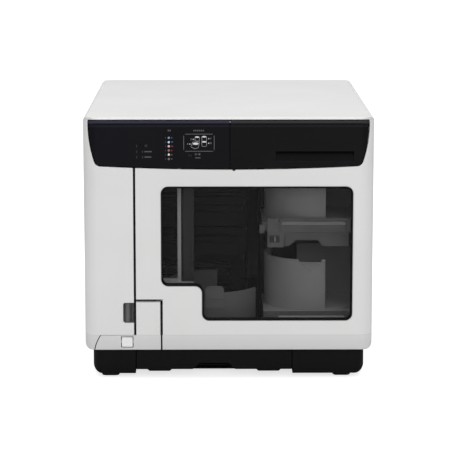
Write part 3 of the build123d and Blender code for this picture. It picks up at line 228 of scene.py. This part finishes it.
def lever_plastic():
    """Dark grey grip with painted light: a painted highlight along its round middle, painted shade at its
    edges and in the groove beside it.
    """
    shader = Shader("lever_grey", specular=0.3)
    drift = shader.ramp(shader.noise(40), [(0.35, grey(0.9)), (0.65, grey(1.0))])
    # painted highlight along the round middle, painted shade at the edges and in the groove
    painted_grip_light = shader.along("X", LEVER_LEFT, LEVER_RIGHT, [
        (0.0, grey(0.035)), (0.28, grey(0.14)), (0.5, grey(0.13)), (0.64, grey(0.035)), (0.84, grey(0.07)),
        (1.0, grey(0.02))])
    shader.multiply(drift, painted_grip_light)
    return shader.gloss(0.4, 0.5).material


def smoked_glass():
    """Tinted pane: seen through, it dims what is behind it, and light passes through it."""
    shader = Shader("smoked_pane", specular=0.3)
    shader.set("Alpha", 0.28)
    return shader.mottle(grey(0.0035), grey(0.0045), 6).gloss(0.03, 0.06, 12).material


def rubber():
    return Shader("rubber", specular=0.25).mottle(grey(0.012), grey(0.02), 40).gloss(0.7, 0.85).grain(
        900, 0.0001).material


def circuit_board():
    shader = Shader("circuit_board", specular=0.5)
    cells = shader.nodes.new("ShaderNodeTexVoronoi")
    cells.inputs["Scale"].default_value = 260
    shader.links.new(shader.place, cells.inputs["Vector"])
    stops = [(0.2, (0.25, 0.3, 0.12, 1)), (0.35, (0.01, 0.09, 0.03, 1))]
    colour = shader.ramp(cells.outputs["Distance"], stops)
    shader.links.new(colour, shader.bsdf.inputs["Base Color"])
    return shader.gloss(0.25, 0.4).material


INK_LAMP_COLOURS = [           # from the lowest lamp up
    (0.16, 0.16, 0.15, 1), (0.85, 0.80, 0.62, 1), (0.42, 0.12, 0.13, 1),
    (0.80, 0.55, 0.58, 1), (0.60, 0.72, 0.85, 1), (0.22, 0.34, 0.46, 1)]
INK_LAMP_LOW, INK_LAMP_PITCH = 0.2942, 0.0055
INK_LAMPS_FROM = -0.1          # the status lamps, which are unlit, stand to the left of this


def lamp_lens():
    """Clear lenses over coloured lamps: the colour steps up the column of ink lamps."""
    shader = Shader("lamp_lens", roughness=0.25)
    split = shader.nodes.new("ShaderNodeSeparateXYZ")
    shader.links.new(shader.place, split.inputs["Vector"])
    height = shader.nodes.new("ShaderNodeMapRange")
    height.inputs["From Min"].default_value = INK_LAMP_LOW - INK_LAMP_PITCH / 2
    height.inputs["From Max"].default_value = INK_LAMP_LOW + INK_LAMP_PITCH * (len(INK_LAMP_COLOURS) - 0.5)
    shader.links.new(split.outputs["Z"], height.inputs["Value"])
    node = shader.nodes.new("ShaderNodeValToRGB")
    node.color_ramp.interpolation = "CONSTANT"
    points = node.color_ramp.elements
    while len(points) < len(INK_LAMP_COLOURS):
        points.new(0.5)
    for i, colour in enumerate(INK_LAMP_COLOURS):
        points[i].position, points[i].color = i / len(INK_LAMP_COLOURS), colour
    shader.links.new(height.outputs["Result"], node.inputs["Fac"])
    is_ink = shader.nodes.new("ShaderNodeMath")
    is_ink.operation = "GREATER_THAN"
    is_ink.inputs[1].default_value = INK_LAMPS_FROM
    shader.links.new(split.outputs["X"], is_ink.inputs[0])
    mix = shader.nodes.new("ShaderNodeMix")
    mix.data_type = "RGBA"
    mix.inputs["A"].default_value = (0.012, 0.012, 0.014, 1)
    shader.links.new(is_ink.outputs["Value"], mix.inputs["Factor"])
    shader.links.new(node.outputs["Color"], mix.inputs["B"])
    shader.links.new(mix.outputs["Result"], shader.bsdf.inputs["Base Color"])
    return shader.material


def print_ink(name, colour):
    """Silk-screened ink, a little uneven in tone."""
    shader = Shader(name, specular=0.3)
    dark = tuple(c * 0.85 for c in colour) + (1,)
    return shader.mottle(dark, tuple(colour) + (1,), 700).gloss(0.4, 0.5).material


def dress(material, *names):
    """Gives CAD nodes a material in place of the plain one that they come with."""
    for name in names:
        node = NODES[name]
        if not node.material_slots:
            node.data.materials.append(material)
        for slot in node.material_slots:
            slot.material = material


def dress_all():
    dress(white_plastic(), "left_cover", "right_cover", "top_cover", "rear_cover", "disc_cover",
          "tray_handle_cover")
    # tray release: brighter white, with painted shade along its upper part
    dress(white_plastic("release_white", RELEASE_TONE_AND_SHADE), "tray_release")
    dress(band_plastic("band_left", (1.0, 1.0, 1.7)), "control_panel", "power_button", "mode_button")
    dress(band_plastic("band_right", (1.0, 1.0, 1.15)), "cartridge_cover")
    dress(black_plastic("black_plastic", 0.003, 0.12), "base_pan", "output_tray", "door_inner_frame",
          "cartridge_bay", "power_inlet")
    dress(grey_plastic("duct_grey", 0.07), "bay_duct")
    dress(grey_plastic("bay_black", 0.007), "drive_bezels", "printer_frame", "print_carriage", "drive_1_tray",
          "drive_2_tray", "printer_tray", "arm_carriage", "disc_arm", "fan_frame", "fan_rotor")
    # painted_top_light makes the upward faces of the cups and the shelf paler as painted light
    dress(grey_plastic("cup_grey", 0.50, painted_top_light=1.7), "stacker_1", "stacker_2")
    dress(grey_plastic("shelf_grey", 0.24, painted_top_light=2.6), "stacker_base", "stacker_shelf")
    dress(grey_plastic("cup_dark", 0.27, painted_top_light=1.8), "stacker_3")
    dress(grey_plastic("jaw_grey", 0.05), "gripper_jaw_left", "gripper_jaw_right")
    dress(lever_plastic(), "lock_lever")
    dress(black_plastic("ink_tank", 0.02, 0.4), "ink_cartridges")
    dress(smoked_glass(), "door_window")
    dress(rubber(), "feet", "lift_belt")
    dress(grey_plastic("dark_zinc", 0.03), "drive_cage", "idler_bracket", "power_supply", "lift_motor")
    dress(grey_plastic("painted_frame", 0.012), "deck_plate", "left_frame", "right_frame", "upper_deck")
    dress(grey_plastic("dark_sheet", 0.03), "bay_wall")
    dress(grey_plastic("bright_sheet", 0.80), "bay_rail")
    dress(grey_plastic("drive_sheet", 0.015), "drive_1_case", "drive_2_case")
    dress(sheet_metal("port_sheet", 0.5), "usb_port")
    dress(grey_plastic("column_black", 0.014, 0.4, (0.25, 0.35)), "arm_columns")
    dress(sheet_metal("ground_steel", 0.6, (0.15, 0.25), 1.0, (120, 120, 4)), "door_hinge_pins",
          "carriage_rail", "cartridge_cover_pins", "lift_pulley", "lift_idler")
    dress(circuit_board(), "main_board")
    dress(lamp_lens(), "indicator_lamps")


# ---- printed marks on the control panel --------------------------------------------
PANEL_Y = -246.0 * MM          # the panel's face
FRONT_Y = -246.5 * MM          # the door's face
MODE_KEY_Y = -246.3 * MM
BADGE_Y = -223.6 * MM
PRINT_DEPTH = 0.07 * MM
STATUS_ROWS = (311.1, 303.6, 296.6)
# black for the painted shade beside the door's shut line, and for the catch's tip
GAP_BLACK = (0.004, 0.004, 0.004)


def link(name, mesh, material, body):
    piece = bpy.data.objects.new(name, mesh)
    bpy.context.scene.collection.objects.link(piece)
    mesh.materials.append(material)
    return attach(piece, body)


def printed(name, outlines, material, body="housing", face_y=PANEL_Y):
    """Flat closed outlines in millimetres, x and z, as thin print on a face that looks to the front."""
    work = bmesh.new()
    for outline in outlines:
        front = [work.verts.new((x * MM, face_y - PRINT_DEPTH, z * MM)) for x, z in outline]
        back = [work.verts.new((x * MM, face_y, z * MM)) for x, z in outline]
        work.faces.new(front)
        work.faces.new(back[::-1])
        for i in range(len(front)):
            j = (i + 1) % len(front)
            work.faces.new((front[i], back[i], back[j], front[j]))
    bmesh.ops.recalc_face_normals(work, faces=work.faces)
    mesh = bpy.data.meshes.new(name)
    work.to_mesh(mesh)
    work.free()
    link(name, mesh, material, body)


def bar(x0, x1, z0, z1):
    return [(x0, z0), (x1, z0), (x1, z1), (x0, z1)]


def oval(x, z, half_width, half_height, steps=20):
    return [(x + half_width * cos(2 * pi * i / steps), z + half_height * sin(2 * pi * i / steps))
            for i in range(steps)]


def stroke(points, width, closed=False):
    """One thin four-cornered outline for each run of a line."""
    runs = list(zip(points, points[1:] + points[:1])) if closed else list(zip(points, points[1:]))
    outlines = []
    for (x0, z0), (x1, z1) in runs:
        along = Vector((x1 - x0, z1 - z0)).normalized() * width / 2
        side = Vector((-along.y, along.x))
        a, b = Vector((x0, z0)) - along * 0.9, Vector((x1, z1)) + along * 0.9
        outlines.append([tuple(a - side), tuple(b - side), tuple(b + side), tuple(a + side)])
    return outlines


def rounded_box(x0, x1, z0, z1, radius, steps=5):
    points = []
    for cx, cz, start in ((x1 - radius, z1 - radius, 0), (x0 + radius, z1 - radius, 90),
                          (x0 + radius, z0 + radius, 180), (x1 - radius, z0 + radius, 270)):
        for i in range(steps + 1):
            turn = radians(start + 90 * i / steps)
            points.append((cx + radius * cos(turn), cz + radius * sin(turn)))
    return points


def numeral(name, text, x, z, size, material):
    """A plain figure printed on the panel."""
    curve = bpy.data.curves.new(name, "FONT")
    curve.body, curve.size, curve.extrude = text, size * MM, PRINT_DEPTH / 2
    curve.align_x, curve.align_y = "CENTER", "CENTER"
    curve.materials.append(material)
    source = bpy.data.objects.new(name + "_source", curve)
    bpy.context.scene.collection.objects.link(source)
    bpy.context.view_layer.update()
    mesh = bpy.data.meshes.new_from_object(source.evaluated_get(bpy.context.evaluated_depsgraph_get()))
    bpy.data.objects.remove(source)
    for vertex in mesh.vertices:
        across, up, out = vertex.co
        vertex.co = (x * MM + across, PANEL_Y - PRINT_DEPTH / 2 - out, z * MM + up)
    mesh.flip_normals()
    piece = bpy.data.objects.new(name, mesh)
    bpy.context.scene.collection.objects.link(piece)
    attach(piece, "housing")


def make_panel_marks():
    white = print_ink("print_white", (0.42, 0.42, 0.43))
    faint = print_ink("print_grey", (0.10, 0.10, 0.105))
    bright = print_ink("print_bright", (0.78, 0.78, 0.78))
    blue = print_ink("print_blue", (0.035, 0.10, 0.20))
    red = print_ink("print_red", (0.20, 0.03, 0.04))
    # ticks and label bars beside the ink lamps
    ticks, labels_blue, labels_red, labels_grey = [], [], [], []
    for i in range(len(INK_LAMP_COLOURS)):
        z = (INK_LAMP_LOW + INK_LAMP_PITCH * i) / MM
        ticks.append(bar(-81.6, -81.1, z - 0.9, z + 0.9))
        label = bar(-74.2, -74.2 + (2.6 if i in (3, 4) else 1.5), z - 0.8, z + 0.8)
        (labels_blue if i >= 4 else labels_red if i in (2, 3) else labels_grey).append(label)
    ticks += [bar(-111.4, -110.8, z - 1.1, z + 1.1) for z in STATUS_ROWS]
    printed("panel_ticks", ticks, faint)
    printed("ink_labels_blue", labels_blue, blue)
    printed("ink_labels_red", labels_red, red)
    printed("ink_labels_grey", labels_grey, faint)
    # bars in the place of words: two status rows, the headings and the mode key's marks
    bars = [bar(-108.7, -99.4, 303.0, 304.4), bar(-108.7, -99.8, 296.0, 297.4),
            bar(-78.4, -76.9, 330.0, 332.2), bar(-76.2, -74.7, 330.0, 332.2),
            bar(-43.4, -41.6, 299.0, 301.4), bar(-40.8, -39.8, 300.0, 300.6), bar(-39.0, -36.6, 299.0, 301.4),
            bar(-43.2, -36.4, 295.0, 296.2)]
    bars += [bar(-45.6 + 2.4 * i, -44.0 + 2.4 * i, 330.0, 332.0) for i in range(6)]
    printed("panel_bars", bars, faint)
    printed("mode_ring", stroke(oval(-49.9, 298.9, 2.6, 1.0), 0.35, True), faint, "mode_button",
            MODE_KEY_Y)
    # stacker diagram: frame, two piles on the right, one at the left, and the tray
    printed("diagram_frame", stroke(rounded_box(-58.0, -18.7, 304.2, 326.4, 1.6), 0.75, True),
            print_ink("print_frame", (0.13, 0.13, 0.135)))
    piles = [oval(-31.6, 323.0, 2.8, 1.0), oval(-31.6, 316.4, 2.8, 1.0), oval(-40.6, 322.6, 2.6, 1.0),
             oval(-42.6, 314.0, 3.8, 1.5)]
    printed("diagram_discs", piles, bright)
    lines = stroke([(-34.6, 323.0), (-34.6, 311.4), (-33.4, 310.4), (-29.8, 310.4), (-28.6, 311.4),
                    (-28.6, 323.0)], 0.45)
    lines += stroke([(-43.4, 322.4), (-43.4, 317.8), (-38.0, 317.2), (-37.6, 322.4)], 0.45)
    tray = [(-48.6, 309.6), (-46.4, 316.2), (-37.6, 316.2), (-39.0, 309.0), (-43.2, 307.4)]
    lines += stroke(tray, 0.45, True)
    printed("diagram_lines", lines, white)
    arrows = [[(-26.8, z), (-25.2, z + 0.9), (-25.2, z - 0.9)] for z in (320.6, 314.6)]
    arrows += [[(x, z), (x - 1.6, z + 0.9), (x - 1.6, z - 0.9)] for x, z in ((-44.6, 319.6), (-49.0, 313.6))]
    printed("diagram_arrows", arrows, bright)
    for text, x, z in (("1", -23.0, 320.6), ("2", -23.0, 314.6), ("3", -48.6, 319.6), ("4", -53.0, 313.6)):
        numeral("diagram_" + text, text, x, z, 3.0, white)


def make_badge():
    """The shelf's number badge: a darker rounded square with a figure 1."""
    square = rounded_box(53.6, 66.8, 180.6, 190.0, 1.5)
    printed("badge_square", [square], print_ink("badge_dark", (0.07, 0.07, 0.075)), face_y=BADGE_Y)
    figure = bar(60.1, 61.5, 182.0, 188.6)
    pale = print_ink("badge_pale", (0.75, 0.75, 0.75))
    printed("badge_1", [figure], pale, face_y=BADGE_Y - 3 * PRINT_DEPTH)


def corner_lines(left, right, low, high, width):
    """A line up to a corner at the right and one back from it to the left, as two bars."""
    return [bar(right - width[0], right, low, high), bar(left, right, high - width[1], high)]


def make_gap_lines():
    """Painted shade: dark lines printed beside the shut line between the door and the block of the tray's
    handle, to deepen it.
    """
    black = print_ink("gap_painted_shade", GAP_BLACK)
    # painted shade along the shut line, on the door and on the block
    on_door = corner_lines(-120.7, -86.15, 62.0, 109.4, (0.6, 0.7))
    printed("door_notch_shade", on_door, black, "disc_cover", FRONT_Y)
    on_block = corner_lines(-120.7, -88.95, 62.0, 106.3, (0.45, 0.5))
    printed("block_edge_shade", on_block, black, "output_tray", FRONT_Y)


def make_catch_mark():
    """The tip of the ink cover's catch, which shows as a small black bump on the edge of the door."""
    bump = [(6.8 + 2.2 * cos(radians(a)), 280.4 + 1.9 * sin(radians(a))) for a in range(180, 361, 20)]
    printed("catch_tip", [bump], print_ink("catch_black", GAP_BLACK), "disc_cover", FRONT_Y)


def make_power_mark():
    """The usual power sign beside its button: a broken ring with a stroke through the gap."""
    x, z = -106.6, STATUS_ROWS[0]
    ring = [(x + 1.4 * cos(radians(a)), z + 1.4 * sin(radians(a))) for a in range(130, 411, 20)]
    lines = stroke(ring, 0.4) + stroke([(x, z + 0.1), (x, z + 1.8)], 0.4)
    printed("power_mark", lines, print_ink("print_power", (0.16, 0.16, 0.17)))


# ---- stage ------------------------------------------------------------------------------
FLOOR_HALF = 30.0
FLOOR_GLOW = 0.72              # lifts the floor to white in the picture and keeps its shadow
WORLD_STRENGTH = 0.42


def seen_directly(nodes, links):
    """1 for rays that show the surroundings: straight from the camera, or sent on through glass."""
    path = nodes.new("ShaderNodeLightPath")
    first = nodes.new("ShaderNodeMath")
    first.operation = "MAXIMUM"
    links.new(path.outputs["Is Camera Ray"], first.inputs[0])
    links.new(path.outputs["Is Transmission Ray"], first.inputs[1])
    return first.outputs["Value"]


def make_floor():
    material = bpy.data.materials.new("floor")
    material.use_nodes = True
    nodes, links = material.node_tree.nodes, material.node_tree.links
    bsdf = nodes["Principled BSDF"]
    bsdf.inputs["Base Color"].default_value = grey(0.82)
    bsdf.inputs["Roughness"].default_value = 0.9
    bsdf.inputs["Specular IOR Level"].default_value = 0.0
    bsdf.inputs["Emission Color"].default_value = grey(1.0)
    glow = nodes.new("ShaderNodeMath")
    glow.operation = "MULTIPLY"
    glow.inputs[1].default_value = FLOOR_GLOW
    links.new(seen_directly(nodes, links), glow.inputs[0])
    links.new(glow.outputs["Value"], bsdf.inputs["Emission Strength"])
    mesh = bpy.data.meshes.new("floor")
    corners = [(x * FLOOR_HALF, y * FLOOR_HALF, 0) for x, y in ((-1, -1), (1, -1), (1, 1), (-1, 1))]
    mesh.from_pydata(corners, [], [(0, 1, 2, 3)])
    mesh.materials.append(material)
    floor = bpy.data.objects.new("floor", mesh)
    bpy.context.scene.collection.objects.link(floor)


def make_world():
    world = bpy.data.worlds.new("world")
    bpy.context.scene.world = world
    world.use_nodes = True
    nodes, links = world.node_tree.nodes, world.node_tree.links
    light = nodes["Background"]
    light.inputs["Color"].default_value = grey(1.0)
    light.inputs["Strength"].default_value = WORLD_STRENGTH
    backdrop = nodes.new("ShaderNodeBackground")
    backdrop.inputs["Color"].default_value = grey(1.0)
    backdrop.inputs["Strength"].default_value = 1.0
    mix = nodes.new("ShaderNodeMixShader")
    links.new(seen_directly(nodes, links), mix.inputs["Fac"])
    links.new(light.outputs["Background"], mix.inputs[1])
    links.new(backdrop.outputs["Background"], mix.inputs[2])
    links.new(mix.outputs["Shader"], nodes["World Output"].inputs["Surface"])


def area_light(name, at, target, width, height, watts):
    data = bpy.data.lights.new(name, "AREA")
    data.shape, data.size, data.size_y, data.energy = "RECTANGLE", width, height, watts
    lamp = bpy.data.objects.new(name, data)
    lamp.location = at
    aim = Vector(target) - Vector(at)
    lamp.rotation_euler = aim.to_track_quat("-Z", "Y").to_euler()
    bpy.context.scene.collection.objects.link(lamp)


def make_lights():
    area_light("top_light", (0.0, -0.3, 2.4), (0, 0, 0.3), 2.2, 2.2, 35)
    area_light("front_light", (0.3, -3.4, 1.3), (0, 0, 0.2), 2.0, 1.4, 26)


# ---- build -------------------------------------------------------------------------------
make_camera()
make_world()
make_lights()
make_floor()
dress_all()
make_panel_marks()
make_power_mark()
make_badge()
make_catch_mark()
make_gap_lines()

scene = bpy.context.scene
scene.view_settings.view_transform = "Standard"
